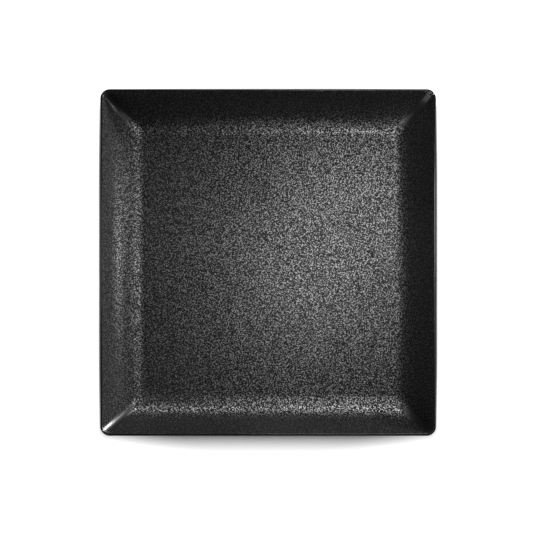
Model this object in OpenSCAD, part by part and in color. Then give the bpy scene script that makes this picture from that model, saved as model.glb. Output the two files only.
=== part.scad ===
// Square dinner plate, pressed from melamine: a one-piece moulding with a foot ring,
// and a thin textured face layer pressed into it.
// Millimetres. The origin is the middle of the foot ring's tread, on the table, and +Z is up.
// +X is the plate's right and +Y its back, as the plate lies in front of a diner.

/* [Outline] */
// Width of the plate over the rim, left to right
plate_w = 260; // [200:1:320]
// Depth of the plate over the rim, front to back
plate_d = 271; // [200:1:320]
// Height from the table to the top of the rim
plate_h = 23; // [19:0.5:30]
// Radius of the four corners of the rim, in plan
corner_r = 7.3; // [6:0.1:20]

/* [Floor and wall] */
// Thickness of the floor
plate_t = 3; // [2.4:0.1:4.5]
// Thickness of the wall at the rim
wall_t = 2.5; // [2:0.1:4]
// Radius of the bend from the floor up into the wall, on the face
bend_r = 38; // [20:1:40]
// Slope of the wall at the rim
wall_angle = 47; // [38:1:50]
// Corner radius in plan where the face meets the floor
floor_corner_r = 5.5; // [4:0.5:30]
// Corner radius in plan where the back meets the base
back_corner_r = 11; // [6:0.5:32]

/* [Rim] */
// Rounding from the land down to the upright edge
lip_r = 0.8; // [0.3:0.1:1]
// Width of the flat land on top of the rim
land_w = 0.3; // [0.1:0.1:1]
// Rounding from the land down into the wall
crest_r = 0.5; // [0.4:0.1:1.5]
// Rounding under the upright edge
under_r = 0.4; // [0.2:0.1:0.6]

/* [Foot ring] */
// Height of the foot ring, which is the gap under the base
foot_h = 2.5; // [1.5:0.1:4]
// Distance in plan from the edge of the flat base to the outside of the foot ring
foot_setback = 3; // [1:0.5:30]
// Width of the foot ring where it leaves the base
foot_w = 5; // [4:0.1:10]
// Lean of the foot ring's two sides
foot_draft = 12; // [0:1:15]
// Rounding of the tread's two edges
tread_r = 0.8; // [0.3:0.1:1]
// Outer corner radius of the foot ring in plan
foot_corner_r = 12; // [10:0.5:40]

/* [Face layer] */
// Thickness of the textured face layer
face_t = 0.5; // [0.3:0.1:1]
// Width of bare wall between the face layer's edge and the rim's rounding
face_margin = 0.3; // [0.2:0.1:3]

/* [Fineness] */
// Steps round each corner in plan
corner_steps = 10; // [6:1:14]
// Steps up the bend of the wall
bend_steps = 14; // [8:1:18]
// Steps round each small edge
edge_steps = 3; // [3:1:6]

/* [Hidden] */

// Heights of the base and of the floor
base_z = foot_h;
floor_z = base_z + plate_t;
// Overlap of the flat middle with the band round it, and of the foot ring with the base
lap = 1.5;

// A section point is [inset from the rim's edge in plan, height, corner radius in plan].
// Points of an arc about the centre c, of radius r, from angle a to angle b
function arc(c, r, a, b, steps) =
    [for (i = [0:steps]) let (t = a + (b - a) * i / steps) c + r * [cos(t), sin(t)]];
// The value at t on a straight line from [t0, v0] to [t1, v1], held level past its ends
function ramp(t, t0, v0, t1, v1) = v0 + (v1 - v0) * min(max((t - t0) / (t1 - t0), 0), 1);

// The wall's face is a straight line, down and in from the crest's rounding
wall_down = [cos(wall_angle), -sin(wall_angle)];
wall_out = [sin(wall_angle), cos(wall_angle)];
crest_c = [lip_r + land_w, plate_h - crest_r];
crest_end = crest_c + crest_r * wall_out;
face_edge = crest_end + face_margin * wall_down;

// Centre of the arc of radius r that is tangent to the level line at height z
// and to the wall's face line set back by t
function bend_centre(r, z, t) =
    [crest_end[0] + (r - t - (z + r - crest_end[1]) * wall_out[1]) / wall_out[0], z + r];
bend_c = bend_centre(bend_r, floor_z, 0);
floor_inset = bend_c[0];
back_bend_r = bend_r + plate_t;
back_c = bend_centre(back_bend_r, base_z, wall_t);
base_inset = back_c[0];
middle_inset = max(floor_inset, base_inset) + lap;

// The straight part of the back runs up to the upright edge
back_line = crest_end - wall_t * wall_out;
back_edge_z = back_line[1] + back_line[0] * tan(wall_angle);
under_c = [under_r, back_edge_z + under_r * (1 - sin(wall_angle)) / cos(wall_angle)];

// Corner radius in plan of the face and of the back, by inset
function face_corner(i) = i < crest_end[0]
    ? corner_r - i
    : ramp(i, crest_end[0], corner_r - crest_end[0], floor_inset, floor_corner_r);
function back_corner(i) = ramp(i, 0, corner_r, base_inset, back_corner_r);
function with_corner(points, is_back) =
    [for (p = points) [p[0], p[1], is_back ? back_corner(p[0]) : face_corner(p[0])]];
function reversed(list) = [for (i = [len(list) - 1:-1:0]) list[i]];

// The visible face, from the flat middle up to the face layer's edge
face_section = with_corner(concat([[middle_inset, floor_z]],
    arc(bend_c, bend_r, 270, 270 - wall_angle, bend_steps), [face_edge]), false);
// The seat of the face layer, one layer's thickness below the face
seat_section = with_corner(concat([[middle_inset, floor_z - face_t]],
    arc(bend_c, bend_r + face_t, 270, 270 - wall_angle, bend_steps),
    [face_edge - face_t * wall_out]), false);
// The bare rim, from the face layer's edge over the land to the upright edge
rim_section = with_corner(concat([face_edge],
    arc(crest_c, crest_r, 90 - wall_angle, 90, edge_steps),
    arc([lip_r, plate_h - lip_r], lip_r, 90, 180, edge_steps)), false);
// The back, from the upright edge down to the flat middle
back_section = with_corner(concat(
    arc(under_c, under_r, 180, 270 - wall_angle, edge_steps),
    arc(back_c, back_bend_r, 270 - wall_angle, 270, bend_steps),
    [[middle_inset, base_z]]), true);

// One ring of points round the plate, at a section point
function ring(p) = [
    for (q = [0:3], m = [0:corner_steps])
        let (a = 90 * (q + m / corner_steps),
            side_x = (q == 0 || q == 3) ? 1 : -1,
            side_y = q < 2 ? 1 : -1)
        [side_x * (plate_w / 2 - p[0] - p[2]) + p[2] * cos(a),
         side_y * (plate_d / 2 - p[0] - p[2]) + p[2] * sin(a),
         p[1]]];

// A closed band round the plate. The section runs from the flat middle out over
// its upper side, round the edge and back in under its lower side.
module band(section) {
    n = 4 * (corner_steps + 1);
    count = len(section);
    faces = [for (k = [0:count - 1], j = [0:n - 1])
        let (next = (k + 1) % count,
            a = k * n + j, b = k * n + (j + 1) % n,
            c = next * n + (j + 1) % n, d = next * n + j)
        each [[a, b, c], [a, c, d]]];
    polyhedron([for (p = section) each ring(p)], faces, 4);
}

// The flat middle, from height z0 to z1, lapping into the band round it
module middle(z0, z1) {
    inner = ring([middle_inset - lap / 2, 0, floor_corner_r]);
    translate([0, 0, z0]) linear_extrude(z1 - z0) polygon([for (p = inner) [p[0], p[1]]]);
}

// The foot ring's section, standing on the table, with its outside at 0
module foot_section() {
    lean = foot_h * tan(foot_draft);
    tread_in = tread_r * tan((90 - foot_draft) / 2);
    polygon(concat(
        [[foot_w, foot_h + lap], [0, foot_h + lap], [0, foot_h]],
        arc([lean + tread_in, tread_r], tread_r, 180 + foot_draft, 270, edge_steps),
        arc([foot_w - lean - tread_in, tread_r], tread_r, 270, 360 - foot_draft, edge_steps),
        [[foot_w, foot_h]]));
}

// Four straight runs and four quarter turns, from one section
module foot_ring() {
    foot_inset = base_inset + foot_setback;
    run_x = plate_w - 2 * (foot_inset + foot_corner_r);
    run_y = plate_d - 2 * (foot_inset + foot_corner_r);
    for (q = [0:3]) {
        along = q % 2 == 0 ? run_y : run_x;
        across = q % 2 == 0 ? run_x : run_y;
        rotate(90 * q) translate([across / 2, 0, 0]) {
            translate([foot_corner_r, along / 2, 0]) rotate([90, 0, 0])
                linear_extrude(along) mirror([1, 0]) foot_section();
            translate([0, along / 2, 0]) rotate_extrude(angle = 90, $fn = 96)
                translate([foot_corner_r, 0]) mirror([1, 0]) foot_section();
        }
    }
}

// The moulding: floor, walls, rim and foot ring in one piece, with a seat for the face layer
module plate_body() {
    color([0.06, 0.06, 0.062]) union() {
        band(concat(seat_section, rim_section, back_section));
        middle(base_z, floor_z - face_t);
        foot_ring();
    }
}

// The textured layer that lines the floor and walls up to just below the rim
module face_layer() {
    color([0.16, 0.16, 0.165]) union() {
        band(concat(face_section, reversed(seat_section)));
        middle(floor_z - face_t, floor_z);
    }
}

plate_body();
face_layer();
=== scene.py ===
"""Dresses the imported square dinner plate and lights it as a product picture.

The plate is a one-piece melamine moulding with a thin pebble-textured face layer pressed
into it. Both are one profile carried round a rounded rectangle, worked out with numpy from
the same sizes as the solids, in metres: +X is the plate's right, +Y its back, +Z up.
"""

import logging
import math
from dataclasses import dataclass, field
from enum import Enum

import bpy
import numpy as np
from mathutils import Matrix, Vector

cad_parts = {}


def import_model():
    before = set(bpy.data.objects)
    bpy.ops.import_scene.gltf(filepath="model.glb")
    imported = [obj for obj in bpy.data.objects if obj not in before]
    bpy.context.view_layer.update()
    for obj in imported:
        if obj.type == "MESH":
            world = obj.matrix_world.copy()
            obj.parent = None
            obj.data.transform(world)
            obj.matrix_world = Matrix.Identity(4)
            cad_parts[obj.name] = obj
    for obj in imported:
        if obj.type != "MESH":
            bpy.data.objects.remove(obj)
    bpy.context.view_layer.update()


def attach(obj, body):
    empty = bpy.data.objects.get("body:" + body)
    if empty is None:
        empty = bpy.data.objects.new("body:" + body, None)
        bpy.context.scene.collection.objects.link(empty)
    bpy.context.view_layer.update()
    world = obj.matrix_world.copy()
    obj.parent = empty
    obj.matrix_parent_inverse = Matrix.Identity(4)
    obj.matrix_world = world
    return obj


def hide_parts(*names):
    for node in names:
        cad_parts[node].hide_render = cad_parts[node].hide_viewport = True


LOG = logging.getLogger("plate")
MM = 0.001

Point = tuple[float, float, float]
Colour = tuple[float, float, float, float]


class Side(Enum):
    """Which of the plate's two surfaces a profile lies on."""

    FACE = "face"
    BACK = "back"


class Socket(Enum):
    """Socket types of a shader group."""

    FLOAT = "NodeSocketFloat"
    VECTOR = "NodeSocketVector"


# ---------------------------------------------------------------- shape

def arc(centre: np.ndarray, radius: float, start: float, end: float, steps: int) -> np.ndarray:
    """Points on an arc: centre plus radius times (cosine, sine) of evenly spaced angles.

    Args:
        centre: the arc's centre, (inset, height).
        radius: its radius in metres.
        start: first angle in degrees.
        end: last angle in degrees.
        steps: number of equal steps.

    Returns:
        An array of (steps + 1, 2).
    """
    turn = np.radians(np.linspace(start, end, steps + 1))
    return centre + radius * np.stack([np.cos(turn), np.sin(turn)], axis=1)


@dataclass(frozen=True)
class PlateForm:
    """Sizes of the plate in metres, as in the solids, and the profiles worked out from them.

    A profile point is (inset from the rim's edge in plan, height, corner radius in plan).
    """

    width: float = 260 * MM
    depth: float = 271 * MM
    height: float = 23 * MM
    corner: float = 7.3 * MM
    floor_t: float = 3 * MM
    wall_t: float = 2.5 * MM
    bend: float = 38 * MM
    wall_angle: float = 47.0
    floor_corner: float = 5.5 * MM
    back_corner: float = 11 * MM
    lip: float = 0.8 * MM
    land: float = 0.3 * MM
    crest: float = 0.5 * MM
    under: float = 0.4 * MM
    foot_h: float = 2.5 * MM
    foot_setback: float = 3 * MM
    foot_w: float = 5 * MM
    foot_draft: float = 12.0
    tread: float = 0.8 * MM
    foot_corner: float = 12 * MM
    least_foot_corner: float = 4 * MM
    face_t: float = 0.5 * MM
    face_margin: float = 0.3 * MM
    face_edge_r: float = 0.12 * MM
    # Shares of the wall's height where a valley begins, is whole, begins to fade and is gone
    valley_rise: tuple[float, float, float, float] = (0.0, 0.25, 0.85, 0.93)
    # Insets of the flat middle's two rings, as multiples of the bend's own inset
    flat_rings: tuple[float, float] = (1.6, 1.06)
    corner_steps: int = 36
    bend_steps: int = 60
    wall_steps: int = 4
    edge_steps: int = 10

    @property
    def wall_down(self) -> np.ndarray:
        """Unit direction down the wall, in (inset, height)."""
        a = math.radians(self.wall_angle)
        return np.array([math.cos(a), -math.sin(a)])

    @property
    def wall_out(self) -> np.ndarray:
        """Unit direction out of the wall's face, in (inset, height)."""
        a = math.radians(self.wall_angle)
        return np.array([math.sin(a), math.cos(a)])

    @property
    def floor_z(self) -> float:
        """Height of the floor's face."""
        return self.foot_h + self.floor_t

    @property
    def crest_c(self) -> np.ndarray:
        """Centre of the rounding from the land into the wall."""
        return np.array([self.lip + self.land, self.height - self.crest])

    @property
    def crest_end(self) -> np.ndarray:
        """Where the crest's rounding meets the straight wall."""
        return self.crest_c + self.crest * self.wall_out

    @property
    def face_edge(self) -> np.ndarray:
        """Where the face layer ends, just below the rim."""
        return self.crest_end + self.face_margin * self.wall_down

    def bend_centre(self, radius: float, height: float, behind: float) -> np.ndarray:
        """Centre of the arc tangent to a level line and to the wall's line.

        Args:
            radius: the arc's radius.
            height: the level line's height.
            behind: how far the wall's line is set back from the face.

        Returns:
            The centre, (inset, height).
        """
        end, out = self.crest_end, self.wall_out
        inset = end[0] + (radius - behind - (height + radius - end[1]) * out[1]) / out[0]
        return np.array([inset, height + radius])

    @property
    def floor_bend(self) -> np.ndarray:
        """Centre of the face's bend."""
        return self.bend_centre(self.bend, self.floor_z, 0.0)

    @property
    def back_bend(self) -> np.ndarray:
        """Centre of the back's bend."""
        return self.bend_centre(self.bend + self.floor_t, self.foot_h, self.wall_t)

    def with_corner(self, points: np.ndarray, side: Side) -> np.ndarray:
        """Adds each point's corner radius in plan, which changes evenly with its inset.

        Args:
            points: (n, 2) insets and heights.
            side: the surface that the points lie on.

        Returns:
            (n, 3) profile points.
        """
        inset = points[:, 0]
        if side is Side.FACE:
            start = self.crest_end[0]
            radius = np.interp(inset, [0.0, start, self.floor_bend[0]],
                               [self.corner, self.corner - start, self.floor_corner])
        else:
            radius = np.interp(inset, [0.0, self.back_bend[0]], [self.corner, self.back_corner])
        return np.column_stack([points, radius])

    def face_line(self, behind: float) -> np.ndarray:
        """The face, or a surface set back from it, from the flat middle up to the layer's edge.

        It is level, then an arc tangent to the floor and to the wall, then straight.

        Args:
            behind: how far the surface is set back from the face.

        Returns:
            (n, 2) insets and heights.
        """
        up = arc(self.floor_bend, self.bend + behind, 270.0, 270.0 - self.wall_angle,
                 self.bend_steps)
        middle = np.array([[self.floor_bend[0] * times, self.floor_z - behind]
                           for times in self.flat_rings])
        top = self.face_edge - behind * self.wall_out
        straight = np.linspace(up[-1], top, self.wall_steps + 1)[1:]
        return np.concatenate([middle, up, straight])

    def layer_profile(self) -> np.ndarray:
        """The face layer's whole profile: its face, a softened edge, and its underside.

        Returns:
            (k, 3) profile points.
        """
        r = self.face_edge_r
        face = self.face_line(0.0)
        corner = self.face_edge + r * (self.wall_down - self.wall_out)
        edge = arc(corner, r, 90.0 - self.wall_angle, 180.0 - self.wall_angle, self.edge_steps)
        underside = self.face_line(self.face_t)[::-1]
        return self.with_corner(np.concatenate([face[:-1], edge, underside]), Side.FACE)

    def rim_profile(self) -> np.ndarray:
        """The bare rim, from the face layer's edge over the land to the upright edge.

        Returns:
            (k, 3) profile points.
        """
        lip_c = np.array([self.lip, self.height - self.lip])
        return self.with_corner(np.concatenate([
            self.face_edge[None],
            arc(self.crest_c, self.crest, 90.0 - self.wall_angle, 90.0, self.edge_steps),
            arc(lip_c, self.lip, 90.0, 180.0, self.edge_steps)]), Side.FACE)

    def back_profile(self) -> np.ndarray:
        """The back, from under the upright edge down to the edge of the flat base.

        An arc rounds the upright edge under, a straight line follows, and an arc tangent to
        it and to the base ends at the base.

        Returns:
            (k, 3) profile points.
        """
        a = math.radians(self.wall_angle)
        line = self.crest_end - self.wall_t * self.wall_out
        edge_z = line[1] + line[0] * math.tan(a)
        under_c = np.array([self.under, edge_z + self.under * (1 - math.sin(a)) / math.cos(a)])
        return self.with_corner(np.concatenate([
            arc(under_c, self.under, 180.0, 270.0 - self.wall_angle, self.edge_steps),
            arc(self.back_bend, self.bend + self.floor_t, 270.0 - self.wall_angle, 270.0,
                self.bend_steps)]), Side.BACK)

    def foot_profile(self) -> np.ndarray:
        """The base and the foot ring, from the base's edge in to the middle.

        The ring's sides are straight, lean by its draft and round over into a flat tread.

        Returns:
            (k, 3) profile points.
        """
        d = math.radians(self.foot_draft)
        outer = self.back_bend[0] + self.foot_setback
        lean = self.foot_h * math.tan(d)
        tread_in = self.tread * math.tan((math.pi / 2 - d) / 2)
        first = np.array([outer + lean + tread_in, self.tread])
        last = np.array([outer + self.foot_w - lean - tread_in, self.tread])
        points = np.concatenate([
            [[outer - self.foot_setback / 2, self.foot_h], [outer, self.foot_h]],
            arc(first, self.tread, 180.0 + self.foot_draft, 270.0, self.edge_steps),
            arc(last, self.tread, 270.0, 360.0 - self.foot_draft, self.edge_steps),
            [[outer + self.foot_w, self.foot_h], [outer + 2 * self.foot_w, self.foot_h]]])
        radius = self.foot_corner - (points[:, 0] - outer)
        radius[0] = self.back_corner
        return np.column_stack([points, np.maximum(radius, self.least_foot_corner)])

    def body_profile(self) -> np.ndarray:
        """The moulding's whole profile: seat, rim, back, base and foot ring.

        Returns:
            (k, 3) profile points.
        """
        seat = self.with_corner(self.face_line(self.face_t), Side.FACE)
        return np.concatenate([seat, self.rim_profile(), self.back_profile(), self.foot_profile()])

    def loft(self, profile: np.ndarray) -> np.ndarray:
        """Carries a profile round the plate.

        Each ring is a rounded rectangle: the centre of its corner's arc plus the corner
        radius times (cosine, sine), for even angles round the four corners.

        Args:
            profile: (k, 3) profile points.

        Returns:
            (k, n, 3) points in metres.
        """
        steps = np.linspace(0.0, 90.0, self.corner_steps + 1)
        turn = np.radians(np.concatenate([steps + 90.0 * q for q in range(4)]))
        side_x = np.repeat([1.0, -1.0, -1.0, 1.0], self.corner_steps + 1)
        side_y = np.repeat([1.0, 1.0, -1.0, -1.0], self.corner_steps + 1)
        inset, height, radius = (profile[:, i, None] for i in range(3))
        x = side_x * (self.width / 2 - inset - radius) + radius * np.cos(turn)
        y = side_y * (self.depth / 2 - inset - radius) + radius * np.sin(turn)
        return np.stack([x, y, np.broadcast_to(height, x.shape)], axis=2)

    def valley(self, profile: np.ndarray) -> np.ndarray:
        """How deep each point lies in a corner's valley, 0 to 1.

        It is the square root of the sine of twice the angle round the corner, so it is 0 on
        the four straight walls and 1 on the mitre, and it fades out at the wall's foot and
        near its top.

        Args:
            profile: (k, 3) profile points.

        Returns:
            (k, n) values.
        """
        steps = np.radians(np.linspace(0.0, 90.0, self.corner_steps + 1))
        across = np.tile(np.sqrt(np.sin(2.0 * steps).clip(0.0, 1.0)), 4)
        rise = (profile[:, 1] - self.floor_z) / (self.height - self.floor_z)
        along = np.interp(rise, self.valley_rise, [0.0, 1.0, 1.0, 0.0])
        return along[:, None] * across


def add_object(name: str, data: bpy.types.ID) -> bpy.types.Object:
    """Makes an object and links it to the scene.

    Args:
        name: the new object's name.
        data: its mesh, light or camera.

    Returns:
        The object, at the origin.
    """
    thing = bpy.data.objects.new(name, data)
    bpy.context.scene.collection.objects.link(thing)
    return thing


def closed_mesh(name: str, grid: np.ndarray) -> bpy.types.Object:
    """Makes a closed surface from rings of points, with a fan to the middle at each end.

    Each point is joined with the next one on its own ring and with the same two on the ring
    that follows. The middle of an end is the mean of that end's ring.

    Args:
        name: the new object's name.
        grid: (k, n, 3) rings, from the middle of the upper side out and back in below.

    Returns:
        The linked object, at the origin, with smooth shading.
    """
    k, n, _ = grid.shape
    first, last = grid[0].mean(axis=0), grid[-1].mean(axis=0)
    points = np.concatenate([grid.reshape(-1, 3), first[None], last[None]])
    row = np.arange(k - 1)[:, None] * n
    here, after = np.arange(n)[None], (np.arange(n)[None] + 1) % n
    quads = np.stack([row + here, row + n + here, row + n + after, row + after], axis=2)
    here, after = here[0], after[0]
    top = np.stack([np.full(n, k * n), here, after], axis=1)
    base = (k - 1) * n
    bottom = np.stack([np.full(n, k * n + 1), base + after, base + here], axis=1)
    mesh = bpy.data.meshes.new(name)
    mesh.from_pydata(points.tolist(), [],
                     quads.reshape(-1, 4).tolist() + top.tolist() + bottom.tolist())
    mesh.polygons.foreach_set("use_smooth", np.ones(len(mesh.polygons), dtype=bool))
    mesh.update()
    return add_object(name, mesh)


def point_value(thing: bpy.types.Object, name: str, values: np.ndarray) -> None:
    """Stores one number per vertex as an attribute; missing last vertices get 0.

    Args:
        thing: the object.
        name: the attribute's name.
        values: the numbers, in the order of the vertices.
    """
    data = np.zeros(len(thing.data.vertices), dtype=np.float32)
    data[:values.size] = values.reshape(-1)
    thing.data.attributes.new(name, "FLOAT", "POINT").data.foreach_set("value", data)


# ---------------------------------------------------------------- finishes

class Sheet:
    """A node tree being filled in."""

    def __init__(self, tree: bpy.types.NodeTree) -> None:
        """Keeps the tree."""
        self.tree = tree

    def node(self, kind: str, links: dict | None = None, **settings: object) -> bpy.types.Node:
        """Adds a node.

        Args:
            kind: the node's Blender type.
            links: socket name or number to a value or an output socket.
            settings: properties of the node.

        Returns:
            The node.
        """
        made = self.tree.nodes.new(kind)
        for key, value in settings.items():
            setattr(made, key, value)
        self.feed(made, links or {})
        return made

    def feed(self, made: bpy.types.Node, links: dict) -> None:
        """Fills a node's inputs.

        Args:
            made: the node.
            links: socket name or number to a value or an output socket.
        """
        for key, value in links.items():
            if isinstance(value, bpy.types.NodeSocket):
                self.tree.links.new(value, made.inputs[key])
            else:
                made.inputs[key].default_value = value

    def math(self, operation: str, *values: object, clamp: bool = False) -> bpy.types.NodeSocket:
        """Adds a Math node.

        Args:
            operation: what it works out.
            values: its inputs, as numbers or sockets.
            clamp: True to hold the result between 0 and 1.

        Returns:
            The node's output.
        """
        made = self.node("ShaderNodeMath", dict(enumerate(values)), operation=operation,
                         use_clamp=clamp)
        return made.outputs[0]

    def ramp(self, value: object, low: object, high: object, to_low: object = 0.0,
             to_high: object = 1.0) -> bpy.types.NodeSocket:
        """Maps the span low to high onto the span to_low to to_high, smoothly and clamped.

        Args:
            value: the value to map.
            low: where the span begins.
            high: where the span ends.
            to_low: the result at low and below.
            to_high: the result at high and above.

        Returns:
            The node's output.
        """
        made = self.node("ShaderNodeMapRange",
                         {"Value": value, "From Min": low, "From Max": high,
                          "To Min": to_low, "To Max": to_high}, interpolation_type="SMOOTHSTEP")
        return made.outputs[0]

    def mix(self, factor: object, first: object, second: object) -> bpy.types.NodeSocket:
        """Mixes two colours by a factor.

        Args:
            factor: 0 for the first colour, 1 for the second.
            first: the first colour.
            second: the second colour.

        Returns:
            The mixed colour.
        """
        made = self.node("ShaderNodeMix", {0: factor, 6: first, 7: second}, data_type="RGBA")
        return made.outputs[2]


def blank_sheet(owner: bpy.types.Material | bpy.types.World) -> Sheet:
    """Empties the node tree of a material or a world.

    Args:
        owner: the material or the world.

    Returns:
        The sheet of its node tree.
    """
    owner.use_nodes = True
    owner.node_tree.nodes.clear()
    return Sheet(owner.node_tree)


class Effect:
    """A shader group with named inputs and outputs, built once."""

    def __init__(self, name: str, inputs: tuple[str, ...], outputs: tuple[str, ...]) -> None:
        """Makes the group and its sockets.

        Args:
            name: the group's name.
            inputs: names of the number inputs, which stand after the vector input "Place".
            outputs: names of the number outputs.
        """
        self.tree = bpy.data.node_groups.new(name, "ShaderNodeTree")
        sockets = [("Place", "INPUT", Socket.VECTOR)]
        sockets += [(key, "INPUT", Socket.FLOAT) for key in inputs]
        sockets += [(key, "OUTPUT", Socket.FLOAT) for key in outputs]
        for key, way, kind in sockets:
            self.tree.interface.new_socket(key, in_out=way, socket_type=kind.value)
        self.sheet = Sheet(self.tree)
        self.entry = self.tree.nodes.new("NodeGroupInput").outputs
        self.exit = self.tree.nodes.new("NodeGroupOutput").inputs

    def put(self, sheet: Sheet, links: dict) -> bpy.types.NodeOutputs:
        """Places the group in a material.

        Args:
            sheet: the material's sheet.
            links: input name to a value or an output socket.

        Returns:
            The placed group's outputs.
        """
        return sheet.node("ShaderNodeGroup", links, node_tree=self.tree).outputs

    def out(self, name: str, value: bpy.types.NodeSocket) -> None:
        """Joins a value to one of the group's outputs."""
        self.tree.links.new(value, self.exit[name])


class Effects:
    """The effects that the plate's finishes share.

    A cut is the span of a noise over which its mask goes from 0 to 1. Turns are in radians,
    and stretches are the noise's spots per metre along each axis.
    """

    GRAIN_TURNS = ((0.62, 0.41, 0.83), (-0.9, 0.7, 2.1))
    CLOUD_CUT = (0.3, 0.7)
    SCUFF_TURNS = (0.5, -0.9)
    SCUFF_STRETCHES = ((25.0, 900.0, 25.0), (18.0, 1100.0, 18.0))
    SCUFF_CUT = (0.66, 0.74)
    WEAR_PER_METRE = 160.0
    WEAR_CUT = (0.42, 0.68)

    def __init__(self) -> None:
        """Builds each group once."""
        self.grain = self._grain()
        self.ripple = self._ripple()
        self.cloud = self._cloud()
        self.scuffs = self._scuffs()
        self.wear = self._wear()

    def _grain(self) -> Effect:
        """Pebble grain: soft lumps close together, as a height and a gloss mask.

        Two soft noises of one fineness are turned different ways. Their mean is the height.
        Each is also cut to a mask, and the product of the two masks is the gloss, so that
        only the lumps that stand high in both are glossy, as small separate spots.
        """
        made = Effect("Pebble grain", ("Per metre", "Matt at", "Glossy at"), ("Height", "Gloss"))
        s = made.sheet
        lumps, masks = [], []
        for turn in self.GRAIN_TURNS:
            turned = s.node("ShaderNodeMapping", {"Vector": made.entry["Place"], "Rotation": turn})
            noise = s.node("ShaderNodeTexNoise", {"Vector": turned.outputs[0], "Detail": 0.0,
                                                  "Scale": made.entry["Per metre"]})
            lumps.append(noise.outputs["Fac"])
            masks.append(s.ramp(lumps[-1], made.entry["Matt at"], made.entry["Glossy at"]))
        made.out("Height", s.math("MULTIPLY", s.math("ADD", *lumps), 0.5))
        made.out("Gloss", s.math("MULTIPLY", *masks))
        return made

    def _ripple(self) -> Effect:
        """Faint unevenness of a polished surface, as a height."""
        made = Effect("Ripple", ("Per metre",), ("Height",))
        noise = made.sheet.node("ShaderNodeTexNoise",
                                {"Vector": made.entry["Place"], "Scale": made.entry["Per metre"],
                                 "Detail": 1.5, "Roughness": 0.5})
        made.out("Height", noise.outputs["Fac"])
        return made

    def _cloud(self) -> Effect:
        """Slow unevenness of colour and gloss, as a pressed part has."""
        made = Effect("Cloud", ("Per metre",), ("Value",))
        noise = made.sheet.node("ShaderNodeTexNoise",
                                {"Vector": made.entry["Place"], "Scale": made.entry["Per metre"],
                                 "Detail": 3.0, "Roughness": 0.55, "Distortion": 0.3})
        made.out("Value", made.sheet.ramp(noise.outputs["Fac"], *self.CLOUD_CUT))
        return made

    def _scuffs(self) -> Effect:
        """Hairline scuffs: noise drawn out along two directions and cut to thin lines."""
        made = Effect("Hairline scuffs", ("Amount",), ("Mask",))
        s = made.sheet
        lines = []
        for turn, stretch in zip(self.SCUFF_TURNS, self.SCUFF_STRETCHES):
            place = s.node("ShaderNodeMapping", {"Vector": made.entry["Place"],
                                                 "Rotation": (0.0, 0.0, turn), "Scale": stretch})
            noise = s.node("ShaderNodeTexNoise", {"Vector": place.outputs[0], "Scale": 1.0,
                                                  "Detail": 2.0, "Roughness": 0.7})
            lines.append(s.ramp(noise.outputs["Fac"], *self.SCUFF_CUT))
        both = s.math("MAXIMUM", *lines)
        made.out("Mask", s.math("MULTIPLY", both, made.entry["Amount"], clamp=True))
        return made

    def _wear(self) -> Effect:
        """Rubbed edges: a band of heights, broken up by noise."""
        made = Effect("Rubbed edge", ("Clear at", "Full at"), ("Mask",))
        s = made.sheet
        height = s.node("ShaderNodeSeparateXYZ", {0: made.entry["Place"]}).outputs[2]
        noise = s.node("ShaderNodeTexNoise",
                       {"Vector": made.entry["Place"], "Scale": self.WEAR_PER_METRE,
                        "Detail": 4.0, "Roughness": 0.65})
        band = s.node("ShaderNodeMapRange", {"Value": height, "From Min": made.entry["Clear at"],
                                             "From Max": made.entry["Full at"]})
        broken = s.ramp(noise.outputs["Fac"], *self.WEAR_CUT)
        made.out("Mask", s.math("MULTIPLY", band.outputs[0], broken, clamp=True))
        return made


def new_material(name: str) -> tuple[bpy.types.Material, Sheet, bpy.types.Node]:
    """Makes a material with a Principled shader.

    Args:
        name: the material's name.

    Returns:
        The material, its sheet and the shader.
    """
    made = bpy.data.materials.new(name)
    sheet = blank_sheet(made)
    shader = sheet.node("ShaderNodeBsdfPrincipled")
    sheet.node("ShaderNodeOutputMaterial", {"Surface": shader.outputs[0]})
    return made, sheet, shader


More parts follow.
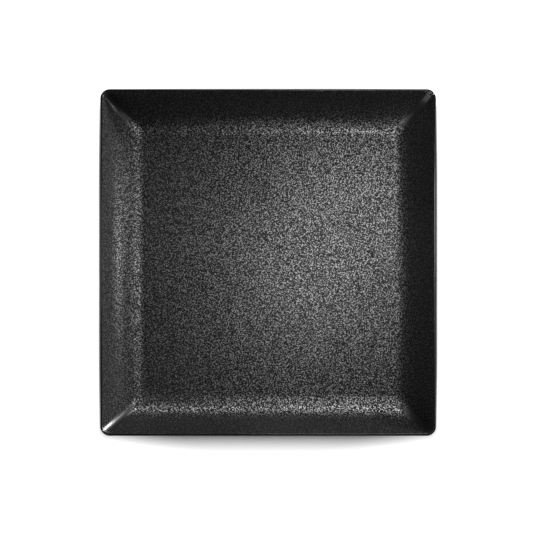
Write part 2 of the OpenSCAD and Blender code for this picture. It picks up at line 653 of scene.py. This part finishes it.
@dataclass(frozen=True)
class GrainedMelamine:
    """Black melamine with the face's fine pebble texture, which dies out in the valleys.

    The lumps carry a satin skin, as a coat, and the pits between them are matt. The pits are
    also painted a little darker than the lumps, as painted shade. In the valleys the surface is
    smooth and the skin is thin and even.
    """

    name: str = "Grained melamine"
    dark: Colour = (0.0092, 0.0087, 0.0094, 1.0)
    light: Colour = (0.0180, 0.0172, 0.0184, 1.0)
    matt_low: float = 0.58
    matt_high: float = 0.70
    valley_rough: float = 0.20
    base_gloss: float = 0.10
    skin_rough: float = 0.28
    skin_ior: float = 2.45
    ior: float = 1.5
    grain_per_metre: float = 1100.0
    grain_depth: float = 0.30 * MM
    # Values of the grain's noises where the skin begins and where it is whole
    matt_at: float = 0.43
    glossy_at: float = 0.57
    # Depths in a valley, 0 to 1, between which the grain gives way, the share of its height
    # that is left there, and the weight of the skin there
    valley_span: tuple[float, float] = (0.15, 0.85)
    valley_left: float = 0.08
    valley_skin: float = 0.14
    # Shares of the lighter colour that the lumps and the cloud bring. The lumps' share is painted
    # # shade: it leaves the pits between the lumps darker. The cloud's share is the moulding's own
    # uneven tone.
    painted_pit_shade_share: float = 0.5
    cloud_tone: float = 0.4
    cloud_per_metre: float = 14.0
    scuff_amount: float = 0.35
    # How much the scuffs count beside the cloud, and the sum that is fully matt
    scuff_matt: float = 0.4
    matt_sum: float = 1.2

    def build(self, effects: Effects) -> bpy.types.Material:
        """Makes the material.

        Args:
            effects: the shared shader groups.

        Returns:
            The material.
        """
        made, s, shader = new_material(self.name)
        place = s.node("ShaderNodeTexCoord").outputs["Object"]
        cloud = effects.cloud.put(s, {"Place": place, "Per metre": self.cloud_per_metre})["Value"]
        scuffs = effects.scuffs.put(s, {"Place": place, "Amount": self.scuff_amount})["Mask"]
        valley = s.node("ShaderNodeAttribute", attribute_name="valley").outputs["Fac"]
        grain = effects.grain.put(s, {"Place": place, "Per metre": self.grain_per_metre,
                                      "Matt at": self.matt_at, "Glossy at": self.glossy_at})
        keep = s.ramp(valley, *self.valley_span, 1.0, self.valley_left)
        bump = s.node("ShaderNodeBump", {"Strength": 1.0, "Distance": self.grain_depth,
                                         "Height": s.math("MULTIPLY", grain["Height"], keep)})
        skin = s.ramp(valley, *self.valley_span, grain["Gloss"], self.valley_skin)
        # Base colour: the lumps take the lighter colour and the pits stay darker, which is painted
        # shade in the pits; the cloud adds the moulding's own uneven tone
        tone = s.math("MULTIPLY_ADD", grain["Gloss"], self.painted_pit_shade_share,
                      s.math("MULTIPLY", cloud, self.cloud_tone))
        matt = s.ramp(s.math("MULTIPLY_ADD", scuffs, self.scuff_matt, cloud), 0.0, self.matt_sum,
                      self.matt_low, self.matt_high)
        rough = s.ramp(valley, *self.valley_span, matt, self.valley_rough)
        s.feed(shader, {"Base Color": s.mix(tone, self.dark, self.light), "Roughness": rough,
                        "IOR": self.ior, "Specular IOR Level": self.base_gloss,
                        "Coat Weight": skin, "Coat Roughness": self.skin_rough,
                        "Coat IOR": self.skin_ior, "Normal": bump.outputs[0]})
        return made


@dataclass(frozen=True)
class PolishedMelamine:
    """Black melamine as it leaves a polished mould, scuffed where the plate stands."""

    name: str = "Polished melamine"
    dark: Colour = (0.0095, 0.0092, 0.0096, 1.0)
    light: Colour = (0.0135, 0.0131, 0.0136, 1.0)
    rubbed: Colour = (0.035, 0.034, 0.035, 1.0)
    rough_low: float = 0.13
    rough_high: float = 0.20
    rubbed_rough: float = 0.45
    ior: float = 1.5
    ripple_per_metre: float = 240.0
    ripple_depth: float = 0.004 * MM
    # Heights where the tread's rubbing ends and where it is whole
    rubbed_to: float = 0.6 * MM
    rubbed_from: float = 0.0
    cloud_per_metre: float = 18.0
    scuff_amount: float = 0.6
    # How much the scuffs count beside the cloud, and the sum that is fully rough
    scuff_rough: float = 0.5
    rough_sum: float = 1.4

    def build(self, effects: Effects) -> bpy.types.Material:
        """Makes the material.

        Args:
            effects: the shared shader groups.

        Returns:
            The material.
        """
        made, s, shader = new_material(self.name)
        place = s.node("ShaderNodeTexCoord").outputs["Object"]
        cloud = effects.cloud.put(s, {"Place": place, "Per metre": self.cloud_per_metre})["Value"]
        scuffs = effects.scuffs.put(s, {"Place": place, "Amount": self.scuff_amount})["Mask"]
        tread = effects.wear.put(s, {"Place": place, "Clear at": self.rubbed_to,
                                     "Full at": self.rubbed_from})["Mask"]
        ripple = effects.ripple.put(s, {"Place": place, "Per metre": self.ripple_per_metre})
        bump = s.node("ShaderNodeBump", {"Strength": 1.0, "Distance": self.ripple_depth,
                                         "Height": ripple["Height"]})
        colour = s.mix(tread, s.mix(cloud, self.dark, self.light), self.rubbed)
        rough = s.ramp(s.math("MULTIPLY_ADD", scuffs, self.scuff_rough, cloud),
                       0.0, self.rough_sum, self.rough_low, self.rough_high)
        more = s.math("MULTIPLY", tread, self.rubbed_rough - self.rough_high)
        s.feed(shader, {"Base Color": colour, "Roughness": s.math("ADD", rough, more),
                        "IOR": self.ior, "Normal": bump.outputs[0]})
        return made


# ---------------------------------------------------------------- plate

@dataclass
class Plate:
    """The plate: its moulding and the face layer pressed into it."""

    form: PlateForm = field(default_factory=PlateForm)
    moulding_finish: PolishedMelamine = field(default_factory=PolishedMelamine)
    face_finish: GrainedMelamine = field(default_factory=GrainedMelamine)
    body: str = "root"

    def build_moulding(self) -> bpy.types.Object:
        """The moulding's surface, in place of the solid `plate_body`.

        Returns:
            The moulding's object.
        """
        thing = closed_mesh("plate_moulding", self.form.loft(self.form.body_profile()))
        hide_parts("plate_body")
        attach(thing, self.body)
        return thing

    def build_face(self) -> bpy.types.Object:
        """The face layer's surface, in place of the solid `face_layer`.

        Returns:
            The layer's object.
        """
        profile = self.form.layer_profile()
        thing = closed_mesh("textured_face", self.form.loft(profile))
        point_value(thing, "valley", self.form.valley(profile))
        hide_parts("face_layer")
        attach(thing, self.body)
        return thing

    def build(self, effects: Effects) -> list[bpy.types.Object]:
        """Makes and dresses both pieces.

        Args:
            effects: the shared shader groups.

        Returns:
            The pieces.
        """
        pieces = []
        for maker, finish in ((self.build_moulding, self.moulding_finish),
                              (self.build_face, self.face_finish)):
            thing = maker()
            thing.data.materials.append(finish.build(effects))
            LOG.info("%s: %d vertices, %s", thing.name, len(thing.data.vertices), finish.name)
            pieces.append(thing)
        return pieces


# ---------------------------------------------------------------- studio

@dataclass(frozen=True)
class SoftLamp:
    """A rectangular lamp that faces a point.

    Its place, size and aim are in metres and its power in watts. Unless told otherwise, it
    faces the plate's middle at the height of the rim.
    """

    name: str
    place: Point
    size: tuple[float, float]
    power: float
    aim: Point = (0.0, 0.0, 23 * MM)

    def build(self, lights: list[bpy.types.Object]) -> None:
        """Makes the lamp, with its width level.

        Args:
            lights: the only objects that it lights.
        """
        data = bpy.data.lights.new(self.name, "AREA")
        data.shape = "RECTANGLE"
        data.size, data.size_y = self.size
        data.energy = self.power
        thing = add_object(self.name, data)
        back = (Vector(self.place) - Vector(self.aim)).normalized()
        across = Vector((0.0, 0.0, 1.0)).cross(-back).normalized()
        turned = Matrix((across, back.cross(across), back)).transposed()
        thing.matrix_world = Matrix.LocRotScale(Vector(self.place), turned, None)
        thing.visible_camera = False
        group = bpy.data.collections.new(self.name + " lights")
        for item in lights:
            group.objects.link(item)
        thing.light_linking.receiver_collection = group


@dataclass(frozen=True)
class Camera:
    """A view from above, a little from the front, that frames the rim.

    The tilt is in degrees off the vertical, and the rim's width and middle are those of the
    picture, in its pixels.
    """

    tilt: float = 8.0
    frame_px: float = 533.0
    rim_width_px: float = 335.75
    rim_centre_px: tuple[float, float] = (268.1, 262.2)
    distance: float = 1.2
    clip: tuple[float, float] = (0.01, 20.0)

    def build(self, form: PlateForm) -> None:
        """Makes the camera and sets it as the scene's.

        Args:
            form: the plate's sizes.
        """
        metre_per_px = form.width / self.rim_width_px
        t = math.radians(self.tilt)
        back = Vector((0.0, -math.sin(t), math.cos(t)))
        right, up = Vector((1.0, 0.0, 0.0)), Vector((0.0, math.cos(t), math.sin(t)))
        middle = self.frame_px / 2
        off_x = (middle - self.rim_centre_px[0]) * metre_per_px
        off_y = (self.rim_centre_px[1] - middle) * metre_per_px
        data = bpy.data.cameras.new("Camera")
        data.type = "ORTHO"
        data.ortho_scale = self.frame_px * metre_per_px
        data.clip_start, data.clip_end = self.clip
        thing = add_object("Camera", data)
        rim = Vector((0.0, 0.0, form.height))
        thing.location = rim + back * self.distance + right * off_x + up * off_y
        thing.rotation_mode = "QUATERNION"
        thing.rotation_quaternion = (-back).to_track_quat("-Z", "Y")
        bpy.context.scene.camera = thing


@dataclass(frozen=True)
class Studio:
    """White floor, soft lamps and the dim room that the plate reflects.

    The floor's own light is `floor_base` near the plate, where its shadow shows, and rises
    to full white between the two distances from the plate's middle in `floor_glow`.
    """

    plate_lamps: tuple[SoftLamp, ...] = (
        SoftLamp("Overhead", (0.054, 0.090, 0.600), (0.10, 0.12), 0.290),
        SoftLamp("Back near", (0.050, 0.120, 0.340), (0.06, 0.06), 0.022),
        SoftLamp("Middle", (0.020, 0.025, 0.260), (0.06, 0.06), 0.024),
        SoftLamp("Near", (0.085, 0.086, 0.220), (0.06, 0.08), 0.025),
        SoftLamp("Side", (0.150, 0.050, 0.150), (0.08, 0.08), 0.095),
        SoftLamp("Back", (0.240, 1.900, 2.300), (0.40, 0.70), 12.0),
        SoftLamp("Window", (2.330, 1.780, 0.530), (0.55, 0.40), 117.0),
        SoftLamp("Window top", (2.060, 1.855, 1.170), (0.18, 0.60), 22.0),
        SoftLamp("Window light", (1.650, 1.580, 1.951), (0.18, 0.90), 12.0),
        SoftLamp("Low front", (-2.089, -2.089, 0.544), (2.00, 1.00), 33.0))
    strip: SoftLamp = SoftLamp("Floor strip", (0.0, 0.32, 3.0), (0.08, 1.8), 110.0,
                               (0.0, 0.0, 0.0))
    room: float = 0.02
    floor_size: float = 12.0
    floor_drop: float = 0.05 * MM
    floor_base: float = 0.16
    floor_glow: tuple[float, float] = (0.147, 0.203)
    floor_colour: Colour = (0.8, 0.8, 0.8, 1.0)
    floor_in_gloss: Colour = (0.1, 0.1, 0.1, 1.0)

    def build_floor(self) -> bpy.types.Object:
        """A level white square under the plate, which keeps the plate's shadow.

        Returns:
            The floor's object.
        """
        half = self.floor_size / 2
        z = -self.floor_drop
        mesh = bpy.data.meshes.new("floor")
        mesh.from_pydata([(-half, -half, z), (half, -half, z), (half, half, z), (-half, half, z)],
                         [], [(0, 1, 2, 3)])
        thing = add_object("floor", mesh)
        made = bpy.data.materials.new("White floor")
        s = blank_sheet(made)
        place = s.node("ShaderNodeTexCoord").outputs["Object"]
        away = s.node("ShaderNodeVectorMath", {0: place}, operation="LENGTH").outputs["Value"]
        far = s.ramp(away, *self.floor_glow, self.floor_base, 1.0)
        seen = s.node("ShaderNodeLightPath").outputs["Is Camera Ray"]
        glow = s.node("ShaderNodeEmission", {"Color": (1.0, 1.0, 1.0, 1.0),
                                             "Strength": s.math("MULTIPLY", far, seen)})
        tone = s.mix(seen, self.floor_in_gloss, self.floor_colour)
        matt = s.node("ShaderNodeBsdfDiffuse", {"Color": tone})
        both = s.node("ShaderNodeAddShader", {0: glow.outputs[0], 1: matt.outputs[0]})
        s.node("ShaderNodeOutputMaterial", {"Surface": both.outputs[0]})
        mesh.materials.append(made)
        return thing

    def build_room(self) -> None:
        """The world: white to the camera, a dim even room to the plate."""
        world = bpy.data.worlds.new("Room")
        bpy.context.scene.world = world
        s = blank_sheet(world)
        path = s.node("ShaderNodeLightPath").outputs
        seen = s.math("MAXIMUM", path["Is Camera Ray"], path["Is Transmission Ray"])
        level = s.math("MULTIPLY_ADD", seen, 1.0 - self.room, self.room)
        back = s.node("ShaderNodeBackground", {"Color": (1.0, 1.0, 1.0, 1.0), "Strength": level})
        s.node("ShaderNodeOutputWorld", {"Surface": back.outputs[0]})

    def build(self, pieces: list[bpy.types.Object]) -> None:
        """Makes the floor, the room and the lamps.

        Args:
            pieces: the plate's pieces.
        """
        floor = self.build_floor()
        self.build_room()
        for lamp in self.plate_lamps:
            lamp.build(pieces)
            LOG.info("lamp %s, %.3f W", lamp.name, lamp.power)
        self.strip.build([floor])


def main() -> None:
    """Loads the frame, builds the plate, the studio and the camera."""
    logging.basicConfig(level=logging.INFO, format="%(name)s: %(message)s")
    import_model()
    bpy.context.scene.view_settings.view_transform = "Standard"
    plate = Plate()
    pieces = plate.build(Effects())
    Studio().build(pieces)
    Camera().build(plate.form)


if __name__ == "__main__":
    main()
